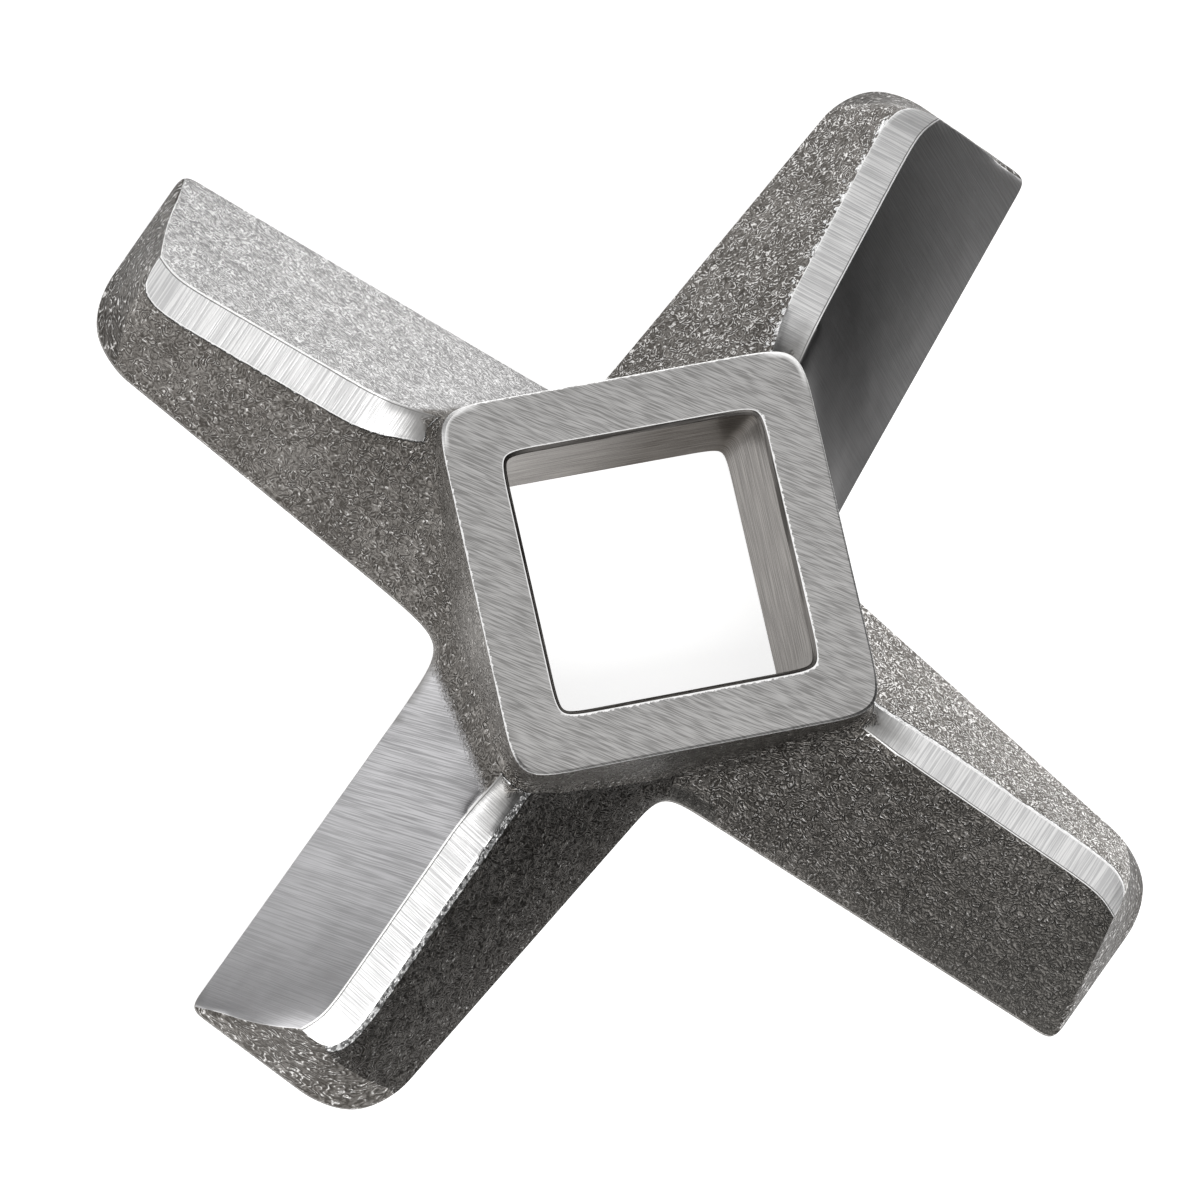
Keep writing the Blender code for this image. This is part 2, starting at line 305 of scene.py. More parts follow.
for wing in range(4):
    along, across = axes(wing)
    order = [WALL.index((wing, name)) for name in ("notch", "lower", "upper", "crest_inner")]
    order += [WALL.index(((wing - 1) % 4, name)) for name in ("crest_outer", "back_upper", "back_lower", "notch")]
    chain = [skirt[index] for index in order]
    starts = [vert.co.dot(along) for vert in chain]
    finishes = [FLANK_FINISH[wing]] * 3 + [CREST] + [BACK_FINISH[wing]] * 3
    lay = [lay_of_wing(wing)]
    rows = [[vert] for vert in chain]
    for step in range(6):
        places = []
        for row, start in zip(ROWS, starts):
            end = row_end(row)
            first = start + NOTCH_BLEND
            last = end - 2.4 * SQUARE_CORNER
            outs = (first, mix(first, last, 0.33), mix(first, last, 0.67), last, end - 0.95 * SQUARE_CORNER, end)
            places.append(row_point(wing, row, outs[step]))
        chain = grow(chain, places, finishes, lay)
        for row, vert in zip(rows, chain):
            row.append(vert)
    sharpen(rows[3], 1.0)
    sharpen(rows[4], 1.0)
    for index in (3, 4):
        cage.edges.get((foot_ring[order[index]], rows[index][0]))[crease] = 0.4
    sharpen(chain[1:5], 0.85)
    places = [chain[0].co] + [end_foot(wing, row) for row in ROWS[1:7]] + [chain[7].co]
    grow(chain, places, [END_FINISH[wing]], lay)

bmesh.ops.remove_doubles(cage, verts=cage.verts, dist=1e-7)
rim = [edge for edge in cage.edges if edge.is_boundary and edge.verts[0].co.z > 0.0001]
for edge in rim:
    edge[crease] = 0.75
land = bmesh.ops.extrude_edge_only(cage, edges=rim)["geom"]
for item in land:
    if isinstance(item, bmesh.types.BMVert):
        item.co.z = 0.0
    if isinstance(item, bmesh.types.BMFace):
        item.material_index = CAST
bmesh.ops.recalc_face_normals(cage, faces=cage.faces)


# The casting is the cage smoothed and closed flat underneath. Sand and scale left its skin uneven,
# and the wheel left a torn lip along the outer edge of each strip. The distances from those edges
# are kept with the mesh, so that the finishes can show their burrs and the highlights and shade painted along them.

SMOOTHING = 4
UNEVENNESS = 0.000035
LIP_HEIGHT = 0.00005
LIP_REACH = 0.00022

cage_mesh = bpy.data.meshes.new("cage")
cage.to_mesh(cage_mesh)
cage.free()
cage_object = bpy.data.objects.new("cage", cage_mesh)
bpy.context.scene.collection.objects.link(cage_object)
smoothing = cage_object.modifiers.new("smoothing", "SUBSURF")
smoothing.levels = SMOOTHING
smoothing.render_levels = SMOOTHING
smoothing.boundary_smooth = "ALL"
smoothing.use_limit_surface = False
knife_mesh = bpy.data.meshes.new_from_object(cage_object.evaluated_get(bpy.context.evaluated_depsgraph_get()))
knife_mesh.name = "knife"
bpy.data.objects.remove(cage_object)

body = bmesh.new()
body.from_mesh(knife_mesh)
flats = {face for face in body.faces if face.material_index == BORE or face.calc_center_median().z < 0.0003}
flat_edges = [edge for edge in body.edges if flats.issuperset(edge.link_faces)]
flat_verts = [vert for vert in body.verts if flats.issuperset(vert.link_faces)]
bmesh.ops.dissolve_limit(
    body, angle_limit=math.radians(0.4), verts=flat_verts, edges=flat_edges, delimit={"MATERIAL"}
)
open_rim = [edge for edge in body.edges if edge.is_boundary]
filled = bmesh.ops.triangle_fill(body, use_beauty=True, edges=open_rim, normal=(0.0, 0.0, -1.0))["geom"]
for item in filled:
    if isinstance(item, bmesh.types.BMFace):
        item.material_index = LAPPED
bmesh.ops.recalc_face_normals(body, faces=body.faces)


def seam(first, second, lowest=0.0005):
    """Tree of points along the edges where one finish meets another."""
    points = []
    for edge in body.edges:
        if len(edge.link_faces) != 2:
            continue
        pair = sorted(face.material_index for face in edge.link_faces)
        if not ((pair[0] in first and pair[1] in second) or (pair[1] in first and pair[0] in second)):
            continue
        start, end = (vert.co for vert in edge.verts)
        if min(start.z, end.z) < lowest or pair[0] == pair[1]:
            continue
        steps = max(1, int((end - start).length / 0.00005))
        points += [start.lerp(end, step / steps) for step in range(steps + 1)]
    tree = kdtree.KDTree(len(points))
    for index, point in enumerate(points):
        tree.insert(point, index)
    tree.balance()
    return tree


flanks = (DARK_CAST, SANDED, GROUND, BRUSHED)
seams = {
    "inner": seam((CREST,), flanks),
    "lip": seam((CREST,), BACK_FINISH),
    "rim": seam((FACE,), (CAST, BORE)),
    "tip": seam((*flanks, CREST), END_FINISH, 0.0009),
}
layers = {name: body.verts.layers.float.new(name) for name in (*seams, "wall", "outline")}
for vert in body.verts:
    for name, tree in seams.items():
        vert[layers[name]] = 1000.0 * tree.find(vert.co)[2]
    vert[layers["wall"]] = 1000.0 * (max(abs(vert.co.x), abs(vert.co.y)) - HUB_SIDE / 2.0)

edge_points = [vert.co.copy() for vert in body.verts if abs(vert.co.z) < 1e-6]
outline = kdtree.KDTree(len(edge_points))
for index, point in enumerate(edge_points):
    outline.insert(point, index)
outline.balance()
for vert in body.verts:
    vert[layers["outline"]] = 1000.0 * outline.find(at_height(vert.co, 0.0))[2]

body.normal_update()
moves = []
for vert in body.verts:
    finishes = {face.material_index for face in vert.link_faces}
    if finishes & {FACE, BORE, LAPPED} or vert.co.z < LAND:
        continue
    rough = sum(face.material_index <= DARK_CAST for face in vert.link_faces) / len(vert.link_faces)
    swell = noise.noise(vert.co * 800.0) + 0.5 * noise.noise(vert.co * 1900.0)
    push = UNEVENNESS * swell * mix(0.15, 1.0, rough) * min(1.0, (vert.co.z - LAND) / 0.0006)
    near = max(0.0, 1.0 - vert[layers["lip"]] * 0.001 / LIP_REACH) * rough
    push += LIP_HEIGHT * near * max(0.0, 0.4 + noise.noise(vert.co * 2600.0))
    moves.append((vert, vert.normal * push))
for vert, move in moves:
    vert.co += move
body.to_mesh(knife_mesh)
print("knife triangles", sum(len(face.verts) - 2 for face in body.faces))
body.free()
knife_mesh.shade_smooth()
knife_mesh.set_sharp_from_angle(angle=math.radians(24.0))

knife = bpy.data.objects.new("knife", knife_mesh)
bpy.context.scene.collection.objects.link(knife)
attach(knife, "root")
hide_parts("grinder_knife")


# The cast skin is dark steel with a fine curly grain from the sand mould, scale stains and small
# bright points where the grain was rubbed, which are also painted glints of its relief. The blends
# at the wings' roots keep it under the grinding, so the finishes of the ground faces take it over again near the hub.

CAST_DARK = (0.055, 0.0505, 0.0455)
CAST_LIGHT = (0.245, 0.233, 0.22)
CAST_RUBBED_GLINT = (0.52, 0.51, 0.5)
GRAIN_DEPTH = 0.000065
FLOAT = "NodeSocketFloat"


def new_group(name, inputs, outputs):
    """Empty node group whose inputs are named values and whose outputs are plain values."""
    group = bpy.data.node_groups.new(name, "ShaderNodeTree")
    for label, value in inputs.items():
        socket = group.interface.new_socket(label, in_out="INPUT", socket_type=FLOAT)
        socket.default_value = value
    for label in outputs:
        group.interface.new_socket(label, in_out="OUTPUT", socket_type=FLOAT)
    return group, group.nodes.new("NodeGroupInput").outputs, group.nodes.new("NodeGroupOutput").inputs


def add(tree, kind, **settings):
    """Node with its settings; a setting that names an input gives that input's value or link."""
    node = tree.nodes.new(kind)
    for label, value in settings.items():
        if hasattr(node, label):
            setattr(node, label, value)
            continue
        socket = node.inputs[int(label[1:]) if label[1:].isdigit() else label.replace("_", " ")]
        if isinstance(value, bpy.types.NodeSocket):
            tree.links.new(value, socket)
        else:
            socket.default_value = value
    return node


def ramp(tree, value, low, high, to_low=0.0, to_high=1.0):
    return add(tree, "ShaderNodeMapRange", i0=value, i1=low, i2=high, i3=to_low, i4=to_high).outputs[0]


def maths(tree, operation, first, second=0.0):
    return add(tree, "ShaderNodeMath", operation=operation, i0=first, i1=second).outputs[0]


def object_point(tree):
    return add(tree, "ShaderNodeTexCoord").outputs["Object"]


def mottle(tree, point, scale, detail=2.0, roughness=0.5):
    return add(tree, "ShaderNodeTexNoise", Vector=point, Scale=scale, Detail=detail, Roughness=roughness).outputs["Fac"]


def kept(tree, name):
    """Distance in millimetres that the mesh keeps at its vertices."""
    return add(tree, "ShaderNodeAttribute", attribute_name=name).outputs["Fac"]


def place_group(tree, group, **values):
    node = tree.nodes.new("ShaderNodeGroup")
    node.node_tree = group
    for label, value in values.items():
        if isinstance(value, bpy.types.NodeSocket):
            tree.links.new(value, node.inputs[label])
        else:
            node.inputs[label].default_value = value
    return node.outputs


def blend_colour(tree, share, first, second):
    node = add(tree, "ShaderNodeMix", data_type="RGBA")
    tree.links.new(share, node.inputs[0])
    for socket, colour in ((node.inputs[6], first), (node.inputs[7], second)):
        if isinstance(colour, bpy.types.NodeSocket):
            tree.links.new(colour, socket)
        else:
            socket.default_value = (*colour, 1.0)
    return node.outputs[2]


def blend_value(tree, share, first, second):
    node = add(tree, "ShaderNodeMix", data_type="FLOAT")
    for socket, value in ((node.inputs[0], share), (node.inputs[2], first), (node.inputs[3], second)):
        if isinstance(value, bpy.types.NodeSocket):
            tree.links.new(value, socket)
        else:
            socket.default_value = value
    return node.outputs[0]


def new_metal(name, roughness):
    material = bpy.data.materials.new(name)
    material.use_nodes = True
    shader = material.node_tree.nodes["Principled BSDF"]
    shader.inputs["Metallic"].default_value = 1.0
    shader.inputs["Roughness"].default_value = roughness
    return material, material.node_tree, shader


def finish_metal(tree, shader, colour, roughness, height, depth):
    tree.links.new(colour, shader.inputs["Base Color"])
    tree.links.new(roughness, shader.inputs["Roughness"])
    bump = add(tree, "ShaderNodeBump", Strength=1.0, Distance=depth, Height=height)
    tree.links.new(bump.outputs[0], shader.inputs["Normal"])


grain_group, given, shown = new_group(
    "cast grain", {"Cell": 0.0005, "Rise": 0.0005, "Folds": 7.5, "Wear": 0.3}, ("Height", "Rubbed Glints", "Stain")
)
point = object_point(grain_group)
split = add(grain_group, "ShaderNodeSeparateXYZ", Vector=point).outputs
cells = add(
    grain_group,
    "ShaderNodeCombineXYZ",
    X=maths(grain_group, "DIVIDE", split[0], given["Cell"]),
    Y=maths(grain_group, "DIVIDE", split[1], given["Cell"]),
    Z=maths(grain_group, "DIVIDE", split[2], given["Rise"]),
).outputs[0]
field = add(grain_group, "ShaderNodeTexNoise", Vector=cells, Scale=1.0, Detail=1.5, Roughness=0.5, Distortion=0.2)
turns = maths(grain_group, "MULTIPLY", field.outputs["Fac"], maths(grain_group, "MULTIPLY", given["Folds"], 2.0 * math.pi))
breaks = mottle(grain_group, point, 2600.0, 1.0)
folds = maths(
    grain_group, "MULTIPLY", maths(grain_group, "SINE", turns), ramp(grain_group, breaks, 0.35, 0.6, 0.3, 1.0)
)
grit = mottle(grain_group, point, 8000.0, 1.0, 0.5)
height = maths(grain_group, "ADD", maths(grain_group, "MULTIPLY", folds, 0.5), ramp(grain_group, grit, 0.0, 1.0, 0.15, 0.85))
height = maths(grain_group, "ADD", height, maths(grain_group, "MULTIPLY", mottle(grain_group, point, 1300.0, 1.0), 0.6))
grain_group.links.new(height, shown["Height"])
# Rubbed spots on the grain's ridges: worn bare, and painted bright as the glints of its relief.
ridges = maths(grain_group, "ADD", maths(grain_group, "MULTIPLY", folds, 0.4), maths(grain_group, "MULTIPLY", grit, 0.9))
worn = maths(grain_group, "ADD", maths(grain_group, "MULTIPLY", given["Wear"], 0.4), maths(grain_group, "SUBTRACT", ridges, 0.92))
grain_group.links.new(ramp(grain_group, worn, 0.0, 0.12), shown["Rubbed Glints"])
grain_group.links.new(ramp(grain_group, mottle(grain_group, point, 170.0, 4.0, 0.6), 0.35, 0.65), shown["Stain"])

band_group, given, shown = new_group(
    "ragged band", {"Distance": 1.0, "Width": 0.1, "Ragged": 0.1, "Cell": 0.0003, "Soft": 0.02}, ("Band",)
)
scale = maths(band_group, "DIVIDE", 1.0, given["Cell"])
wander = maths(band_group, "SUBTRACT", mottle(band_group, object_point(band_group), scale, 3.0, 0.6), 0.5)
gap = maths(band_group, "ADD", given["Distance"], maths(band_group, "MULTIPLY", wander, given["Ragged"]))
gap = maths(band_group, "SUBTRACT", given["Width"], gap)
gap = maths(band_group, "ADD", maths(band_group, "DIVIDE", gap, given["Soft"]), 0.5)
band_group.links.new(ramp(band_group, gap, 0.0, 1.0), shown["Band"])


def cast_parts(tree, shade, wear, cell=0.0005, rise=0.0005, folds=7.5):
    """Colour, roughness and height of the cast skin, for any finish that shows it."""
    grain = place_group(tree, grain_group, Cell=cell, Rise=rise, Folds=folds, Wear=wear)
    # The tone follows the grain's height: grime in its hollows and painted shade of its relief make the hollows darker
    # and the ridges lighter.
    tone = maths(tree, "ADD", maths(tree, "MULTIPLY", grain["Height"], 0.5), maths(tree, "MULTIPLY", grain["Stain"], 0.12))
    dark = [value * shade for value in CAST_DARK]
    light = [value * shade for value in CAST_LIGHT]
    rubbed_glint = [value * mix(1.0, shade, 0.5) for value in CAST_RUBBED_GLINT]
    colour = blend_colour(tree, ramp(tree, tone, 0.3, 0.95), dark, light)
    # Painted glints: the rubbed points turn light and less rough.
    colour = blend_colour(tree, grain["Rubbed Glints"], colour, rubbed_glint)
    roughness = ramp(tree, grain["Rubbed Glints"], 0.0, 1.0, 0.42, 0.28)
    return colour, roughness, grain["Height"]


def lipped(tree, colour, width, ragged, cell, low, high):
    """Torn band along the outer edge of a ground strip, beaded from low to high, with a painted shadow line outside."""
    lip = kept(tree, "lip")
    outer = place_group(tree, band_group, Distance=lip, Width=width + 0.07, Ragged=ragged, Cell=cell)["Band"]
    inner = place_group(tree, band_group, Distance=lip, Width=width, Ragged=ragged, Cell=cell)["Band"]
    beads = ramp(tree, mottle(tree, object_point(tree), 4500.0, 1.0), 0.42, 0.58)
    # Painted shadow: a dark line just outside the torn band.
    colour = blend_colour(tree, outer, colour, (0.05, 0.048, 0.045))
    return blend_colour(tree, inner, colour, blend_colour(tree, beads, (low, low, low), (high, high, high)))


def cast_metal(name, shade, wear, lip, depth=GRAIN_DEPTH, **grain):
    """Cast steel; lip is the width, raggedness, cell and the dark and light tone of the torn band."""
    material, tree, shader = new_metal(name, 0.42)
    colour, roughness, height = cast_parts(tree, shade, wear, **grain)
    if lip:
        colour = lipped(tree, colour, *lip)
    finish_metal(tree, shader, colour, roughness, height, depth)
    return material, tree, colour


cast_skin = cast_metal("cast_skin", 1.75, 0.25, (0.02, 0.3, 0.0003, 0.3, 0.8))[0]
speckled_skin = cast_metal("speckled_skin", 1.75, 0.7, (0.02, 3.4, 0.0004, 0.7, 1.0))[0]
# Painted light: C's trailing flank gets a lighter copy of the cast skin, with more glints.
lit_skin = cast_metal("lit_skin", 2.3, 0.85, (0.26, 0.4, 0.0005, 0.85, 1.0))[0]
# Painted shade: D's trailing flank gets a darker copy of the cast skin.
shaded_skin = cast_metal("shaded_skin", 0.68, 0.15, (0.42, 0.2, 0.0003, 0.22, 0.95))[0]
wrinkled_end = cast_metal("wrinkled_end", 1.05, 0.5, None, cell=0.0011, rise=0.0005)[0]
# Painted light: D's end gets a lighter copy of the ends' skin.
lit_end = cast_metal("lit_end", 1.6, 0.5, None, cell=0.0011, rise=0.0005)[0]

# Painted shade: C's leading flank gets a darker copy of the cast skin.
dark_cast_flank, tree, colour = cast_metal("dark_cast_flank", 1.4, 0.28, None, 0.000045)
# Towards its end and along its outline the flank blends into a plain darker tone: smoothed grain and painted shade.
smooth_shaded_rim = place_group(tree, band_group, Distance=kept(tree, "outline"), Width=0.6, Ragged=0.3, Cell=0.002, Soft=0.3)
smooth_shaded_tip = ramp(tree, kept(tree, "wall"), 1.0, 13.0, 0.0, 0.75)
smooth_and_shaded = maths(tree, "MAXIMUM", smooth_shaded_tip, maths(tree, "MULTIPLY", smooth_shaded_rim["Band"], 0.85))
colour = blend_colour(tree, smooth_and_shaded, colour, (0.088, 0.0845, 0.079))
tree.links.new(colour, tree.nodes["Principled BSDF"].inputs["Base Color"])


# The leading flanks and the strips were ground by hand on a wheel, each with its own stroke, and
# the hub's face and bore were machined: fine lines in tone and relief, softly mottled, with
# bright burrs along their edges, whose white is also a painted highlight.

# White of the burrs along ground edges, brighter than steel: burr and painted highlight in one.
WHITE_BURR_HIGHLIGHT = (0.93, 0.925, 0.92)

lines_group, given, shown = new_group(
    "grind lines",
    {"Turn": 0.0, "Pitch": 0.0001, "Length": 0.003, "Rise": 0.003, "Wander": 0.3, "Blur": 0.12},
    ("Lines", "Scratches", "Patches"),
)
point = object_point(lines_group)
angle = maths(lines_group, "ADD", kept(lines_group, "lay"), given["Turn"])
turned = add(lines_group, "ShaderNodeVectorRotate", rotation_type="Z_AXIS", Vector=point, Angle=maths(lines_group, "MULTIPLY", angle, -1.0))
split = add(lines_group, "ShaderNodeSeparateXYZ", Vector=turned.outputs[0]).outputs
bend = maths(lines_group, "SUBTRACT", mottle(lines_group, point, 600.0, 1.0), 0.5)
bend = maths(lines_group, "MULTIPLY", maths(lines_group, "MULTIPLY", bend, given["Wander"]), 0.001)
brush = add(
    lines_group,
    "ShaderNodeCombineXYZ",
    X=maths(lines_group, "DIVIDE", split[0], given["Length"]),
    Y=maths(lines_group, "DIVIDE", maths(lines_group, "ADD", split[1], bend), given["Pitch"]),
    Z=maths(lines_group, "DIVIDE", maths(lines_group, "ADD", split[2], bend), given["Rise"]),
).outputs[0]
lines = maths(lines_group, "SUBTRACT", mottle(lines_group, brush, 1.0, 1.0, 0.5), 0.5)
lines = maths(lines_group, "DIVIDE", lines, given["Blur"])
lines_group.links.new(ramp(lines_group, lines, -1.0, 1.0), shown["Lines"])
lines_group.links.new(ramp(lines_group, mottle(lines_group, brush, 0.8, 0.0), 0.7, 0.76), shown["Scratches"])
lines_group.links.new(ramp(lines_group, mottle(lines_group, point, 420.0, 3.0, 0.6), 0.3, 0.7), shown["Patches"])


def band(tree, edge, width, ragged, soft, cell=0.00035):
    """Band along an edge that the mesh keeps the distance from, in millimetres."""
    return place_group(
        tree, band_group, Distance=kept(tree, edge), Width=width, Ragged=ragged, Cell=cell, Soft=soft
    )["Band"]


def rim_highlights(tree, colour):
    """Painted highlights on the hub's face: white along its outer edges at the upper left and along
    the bore's edges at the lower right, and a wider glow round its two upper corners."""
    x, y = add(tree, "ShaderNodeSeparateXYZ", Vector=object_point(tree)).outputs[:2]
    across, along = maths(tree, "ABSOLUTE", x), maths(tree, "ABSOLUTE", y)
    inner = ramp(tree, maths(tree, "MAXIMUM", across, along), 0.0079, 0.0077)
    lower_right = ramp(tree, maths(tree, "SUBTRACT", x, y), -0.0005, 0.0005)
    highlit_side = blend_value(tree, inner, maths(tree, "SUBTRACT", 1.0, lower_right), lower_right)
    wide = maths(tree, "MULTIPLY", band(tree, "rim", 0.08, 0.4, 0.05, 0.0002), highlit_side)
    colour = blend_colour(tree, wide, colour, WHITE_BURR_HIGHLIGHT)
    corner = ramp(tree, maths(tree, "MINIMUM", across, y), 0.0070, 0.0080)
    glow = maths(tree, "MULTIPLY", band(tree, "rim", 0.27, 0.12, 0.2), corner)
    return blend_colour(tree, glow, colour, WHITE_BURR_HIGHLIGHT)


def shaded_root(tree, colour):
    """Painted shade: a flank's colour is darkened towards the hub."""
    share = maths(tree, "MULTIPLY", ramp(tree, kept(tree, "wall"), 12.0, 4.0), 0.93)
    return blend_colour(tree, share, colour, (0.125, 0.123, 0.123))


def lit_tip(tree, colour):
    """Painted light: a flank's colour is lightened towards its end."""
    share = maths(tree, "MULTIPLY", ramp(tree, kept(tree, "wall"), 5.0, 14.0), 0.45)
    return blend_colour(tree, share, colour, (0.76, 0.755, 0.77))


def shaded_hollow(tree, colour):
    """Painted shade: the strips turn greyer where they run out into the hollow at the hub's corners."""
    share = maths(tree, "MULTIPLY", band(tree, "wall", 1.2, 0.5, 1.6, 0.0004), 0.9)
    return blend_colour(tree, share, colour, (0.22, 0.216, 0.21))


def curled(tree, colour):
    """Sanding left the curls of the cast grain showing: grey between them, and on their ridges bare steel whose white
    is also a painted highlight.
    """
    ridges = place_group(tree, grain_group, Cell=0.00045, Rise=0.00045, Folds=7.5, Wear=0.3)["Height"]
    colour = blend_colour(tree, ramp(tree, ridges, 0.8, 0.45, 0.0, 0.45), colour, (0.3, 0.295, 0.295))
    return blend_colour(tree, ramp(tree, ridges, 0.9, 1.2, 0.0, 0.7), colour, WHITE_BURR_HIGHLIGHT)


def ground(name, dark, light, roughness, stroke, depth, cover, burr, worn=None, blur=0.12):
    """Ground steel. Stroke is the lines' turn, pitch, length, rise and wander; cover is how far
    from the hub's wall, in millimetres, the cast skin still shows, and how ragged, soft and fine
    its end is; burr is the kept distance that a line follows, its width, raggedness and tone."""
    material, tree, shader = new_metal(name, roughness)
    turn, pitch, length, rise, wander = stroke
    lines = place_group(tree, lines_group, Turn=turn, Pitch=pitch, Length=length, Rise=rise, Wander=wander, Blur=blur)
    tone = maths(tree, "MULTIPLY", lines["Lines"], 0.8)
    tone = maths(tree, "ADD", tone, maths(tree, "MULTIPLY", lines["Patches"], 0.2))
    tone = ramp(tree, maths(tree, "ADD", tone, maths(tree, "MULTIPLY", lines["Scratches"], 0.5)), 0.0, 1.0)
    colour = blend_colour(tree, tone, dark, light)
    rough = ramp(tree, lines["Lines"], 0.0, 1.0, roughness + 0.02, roughness - 0.02)
    height = maths(tree, "MULTIPLY", lines["Lines"], depth / GRAIN_DEPTH)
    for edge, width, ragged, soft, shade in burr:
        colour = blend_colour(tree, band(tree, edge, width, ragged, soft), colour, shade)
    if worn:
        colour = worn(tree, colour)
    if cover:
        skin = band(tree, "wall", *cover)
        skin_colour, skin_rough, skin_height = cast_parts(tree, 1.5, 0.15)
        colour = blend_colour(tree, skin, colour, skin_colour)
        rough = blend_value(tree, skin, rough, skin_rough)
        height = blend_value(tree, skin, height, maths(tree, "MULTIPLY", skin_height, 0.5))
    finish_metal(tree, shader, colour, rough, height, GRAIN_DEPTH)
    return material


DARK_LINE = (0.12, 0.118, 0.115)
EDGE_SHADE = (0.25, 0.245, 0.24)
materials = (
    cast_skin,
    speckled_skin,
    lit_skin,
    shaded_skin,
    wrinkled_end,
    lit_end,
    dark_cast_flank,
    ground(
        "sanded_flank", (0.26, 0.256, 0.256), (0.64, 0.632, 0.632), 0.36, (1.35, 0.00006, 0.0003, 0.0003, 0.6), 0.00002,
        (0.6, 0.9, 0.4, 0.0004),
        (("outline", 0.12, 0.15, 0.3, EDGE_SHADE), ("inner", 0.05, 0.05, 0.03, WHITE_BURR_HIGHLIGHT), ("tip", 0.05, 0.08, 0.03, WHITE_BURR_HIGHLIGHT)),
        curled, 0.08,
    ),
    ground(
        "ground_flank", (0.44, 0.435, 0.435), (0.66, 0.653, 0.653), 0.34, (-0.2, 0.00006, 0.003, 0.003, 0.05), 0.000001,
        (0.3, 0.4, 0.2, 0.0004), (("inner", 0.03, 0.04, 0.03, WHITE_BURR_HIGHLIGHT), ("tip", 0.05, 0.05, 0.03, WHITE_BURR_HIGHLIGHT)),
        shaded_root,
    ),
    ground(
        "brushed_flank", (0.32, 0.318, 0.324), (0.57, 0.565, 0.578), 0.34, (0.12, 0.00006, 0.003, 0.003, 0.05), 0.000002,
        (1.2, 0.7, 0.4, 0.00014),
        (("outline", 0.2, 0.2, 0.5, EDGE_SHADE), ("inner", 0.04, 0.04, 0.03, WHITE_BURR_HIGHLIGHT), ("tip", 0.05, 0.05, 0.03, WHITE_BURR_HIGHLIGHT)),
        lit_tip,
    ),
    ground(
        "ground_crest", (0.54, 0.538, 0.54), (0.84, 0.835, 0.83), 0.30, (0.0, 0.00007, 0.004, 0.004, 0.05), 0.000003,
        (0.15, 0.3, 0.3, 0.0004),
        (
            ("lip", 0.05, 0.1, 0.03, WHITE_BURR_HIGHLIGHT),
            ("tip", 0.04, 0.05, 0.03, WHITE_BURR_HIGHLIGHT),
            ("inner", 0.12, 0.06, 0.03, DARK_LINE),
            ("inner", 0.07, 0.04, 0.03, WHITE_BURR_HIGHLIGHT),
        ),
        shaded_hollow,
    ),
    ground(
        "ground_face", (0.22, 0.216, 0.211), (0.46, 0.453, 0.447), 0.34, (-0.58, 0.00006, 0.0012, 0.0012, 0.1), 0.000003,
        None, (("rim", 0.04, 0.05, 0.05, WHITE_BURR_HIGHLIGHT),), rim_highlights,
    ),
    # Painted shade: the bore's steel is darker than the face's.
    ground(
        "drawn_bore", (0.09, 0.084, 0.079), (0.25, 0.237, 0.225), 0.32, (0.0, 0.003, 0.003, 0.0001, 0.05), 0.00001,
        None, (),
    ),
    ground(
        "lapped_face", (0.34, 0.336, 0.332), (0.62, 0.615, 0.61), 0.30, (0.4, 0.00006, 0.004, 0.004, 0.05), 0.000003,
        None, (),
    ),
)
for material in materials:
    knife_mesh.materials.append(material)

# Painted shade: a darker specular tint dims the bore's upper wall and the band along its edges.
tree = materials[BORE].node_tree
x, y = add(tree, "ShaderNodeSeparateXYZ", Vector=object_point(tree)).outputs[:2]
upper_wall = maths(tree, "MULTIPLY", ramp(tree, y, 0.0056, 0.0063), ramp(tree, x, -0.006, 0.002))
shade_tint = blend_colour(tree, upper_wall, (1.0, 0.98, 0.96), (0.38, 0.365, 0.35))
shade_tint = blend_colour(tree, band(tree, "rim", 0.16, 0.35, 0.06, 0.0002), shade_tint, (0.08, 0.08, 0.08))
tree.links.new(shade_tint, tree.nodes["Principled BSDF"].inputs["Specular Tint"])


# The studio: the knife lies on a white table under one large lamp. Black cards stand and lie
# around it, to be mirrored by the faces that are dark or half dark in the photo.

def flat_panel(name, width, depth, centre, target, spin=0.0):
    """Flat rectangle that faces a point."""
    panel = bmesh.new()
    bmesh.ops.create_grid(panel, x_segments=1, y_segments=1, size=0.5)
    bmesh.ops.scale(panel, vec=(width, depth, 1.0), verts=panel.verts)
    turn = (Vector(target) - Vector(centre)).to_track_quat("Z", "Y").to_matrix() @ Matrix.Rotation(spin, 3, "Z")
    bmesh.ops.rotate(panel, cent=(0.0, 0.0, 0.0), matrix=turn, verts=panel.verts)
    bmesh.ops.translate(panel, vec=centre, verts=panel.verts)
    mesh = bpy.data.meshes.new(name)
    panel.to_mesh(mesh)
    panel.free()
    made = bpy.data.objects.new(name, mesh)
    bpy.context.scene.collection.objects.link(made)
    return made


def seen_rays(tree):
    """1 for rays that show the background: from the camera, in a reflection or through glass."""
    path = add(tree, "ShaderNodeLightPath").outputs
    return maths(tree, "MAXIMUM", path["Is Camera Ray"], maths(tree, "MAXIMUM", path["Is Glossy Ray"], path["Is Transmission Ray"]))


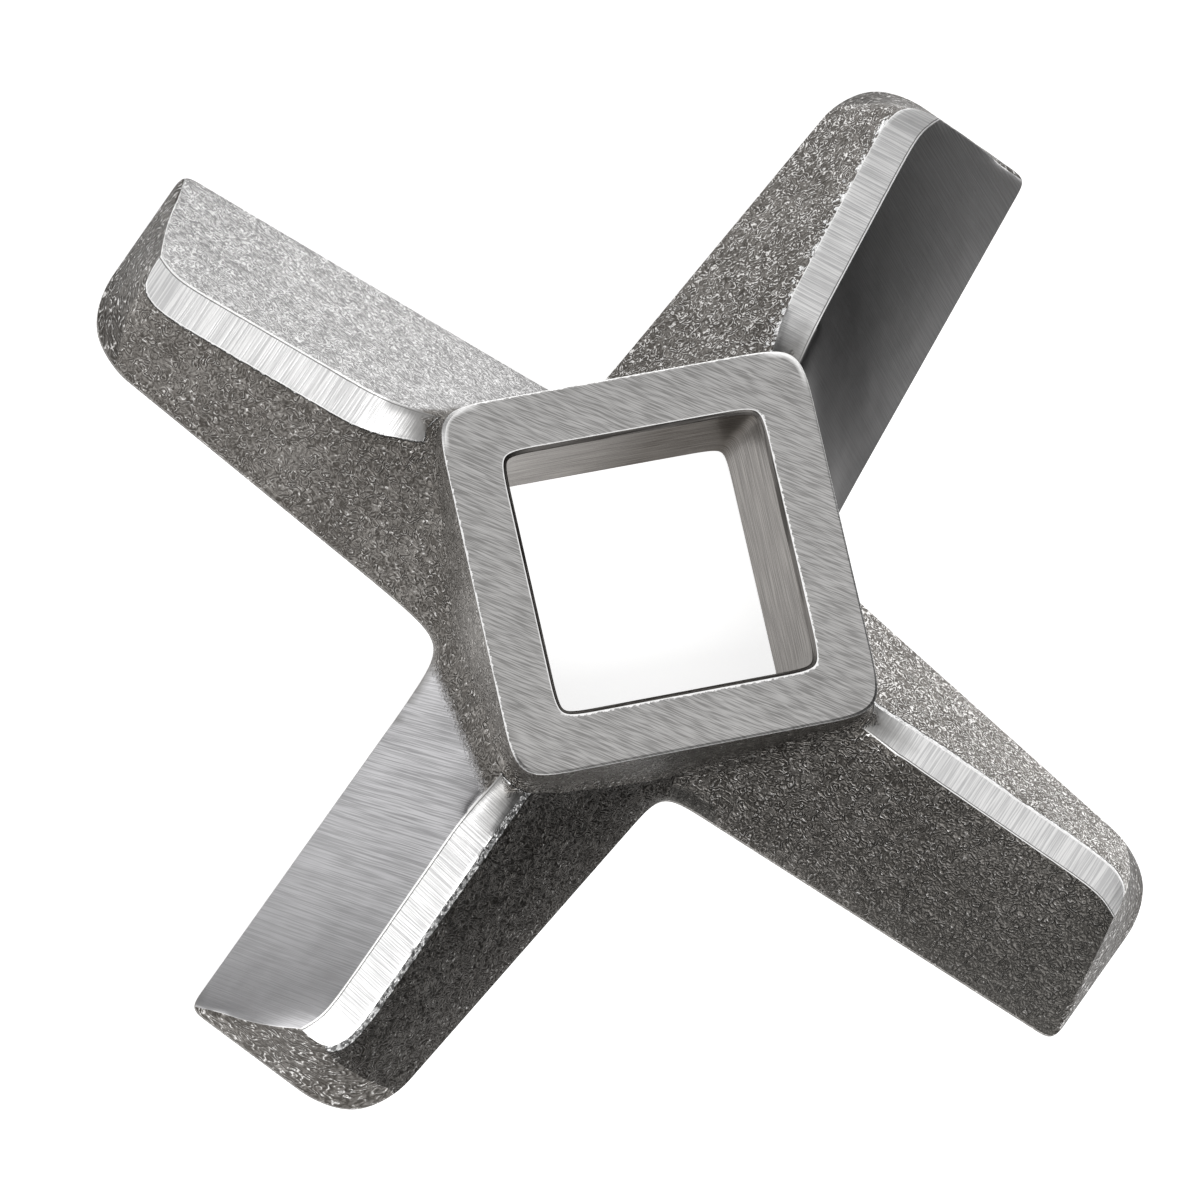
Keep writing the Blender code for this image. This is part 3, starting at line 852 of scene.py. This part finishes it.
table = flat_panel("table", 6.0, 6.0, (0.0, 0.0, -0.00002), (0.0, 0.0, 1.0))
table_paint = bpy.data.materials.new("white_table")
table_paint.use_nodes = True
tree = table_paint.node_tree
shader = tree.nodes["Principled BSDF"]
shader.inputs["Base Color"].default_value = (0.92, 0.92, 0.92, 1.0)
shader.inputs["Roughness"].default_value = 0.9
shader.inputs["Specular IOR Level"].default_value = 0.0
shader.inputs["Emission Color"].default_value = (1.0, 1.0, 1.0, 1.0)
tree.links.new(maths(tree, "MULTIPLY", seen_rays(tree), 0.7), shader.inputs["Emission Strength"])
table.data.materials.append(table_paint)

world = bpy.data.worlds.new("studio")
world.use_nodes = True
bpy.context.scene.world = world
tree = world.node_tree
tree.nodes["Background"].inputs["Color"].default_value = (1.0, 1.0, 1.0, 1.0)
tree.links.new(ramp(tree, seen_rays(tree), 0.0, 1.0, 0.6, 1.0), tree.nodes["Background"].inputs["Strength"])


def lamp(name, size, power, place, target):
    light = bpy.data.lights.new(name, "AREA")
    light.shape = "RECTANGLE"
    light.size, light.size_y = size
    light.energy = power
    made = bpy.data.objects.new(name, light)
    made.location = place
    made.rotation_euler = (Vector(target) - Vector(place)).to_track_quat("-Z", "Y").to_euler()
    made.visible_camera = False
    bpy.context.scene.collection.objects.link(made)
    return made


def around(azimuth, elevation, distance):
    """Point seen from the knife in this direction."""
    azimuth, elevation = math.radians(azimuth), math.radians(elevation)
    level = distance * math.cos(elevation)
    return (level * math.cos(azimuth), level * math.sin(azimuth), distance * math.sin(elevation))


lamp("overhead", (0.5, 0.3), 1.3, around(-93.0, 57.0, 0.6), (0.0, 0.0, 0.0))

card_paint = bpy.data.materials.new("black_card")
card_paint.use_nodes = True
card_paint.node_tree.nodes["Principled BSDF"].inputs["Base Color"].default_value = (0.02, 0.02, 0.02, 1.0)
card_paint.node_tree.nodes["Principled BSDF"].inputs["Specular IOR Level"].default_value = 0.0
for name, size, centre, target, spin in (
    ("card_right", (0.7, 0.36), around(-35.0, 15.0, 0.4), (0.0, 0.0, 0.03), 0.0),
    ("card_below", (0.5, 0.5), (0.0, -0.3642, 0.0004), (0.0, -0.3642, 1.0), math.radians(45.0)),
    ("card_beside", (0.5, 0.5), (0.3775, 0.0, 0.0005), (0.3775, 0.0, 1.0), math.radians(45.0)),
    ("card_left", (0.5, 0.22), around(-135.0, 33.0, 0.4), (0.0, 0.0, 0.0), 0.0),
    ("card_back", (0.6, 0.18), around(115.0, 26.0, 0.4), (0.0, 0.0, 0.0), 0.0),
):
    card = flat_panel(name, *size, centre, target, spin)
    card.data.materials.append(card_paint)
    card.visible_camera = False
    card.visible_shadow = False
    card.visible_diffuse = False


# The camera stands 395 mm away, about 16 degrees off the hub's axis.

camera_data = bpy.data.cameras.new("camera")
camera_data.sensor_width = 36.0
camera_data.lens = 240.0
camera_data.clip_start = 0.01
camera_data.clip_end = 20.0
camera = bpy.data.objects.new("camera", camera_data)
camera.location = (-0.09151, -0.06598, 0.3785)
camera.rotation_euler = (math.radians(12.3567), math.radians(-10.9379), math.radians(-12.8517))
bpy.context.scene.collection.objects.link(camera)
bpy.context.scene.camera = camera
bpy.context.scene.view_settings.view_transform = "Standard"
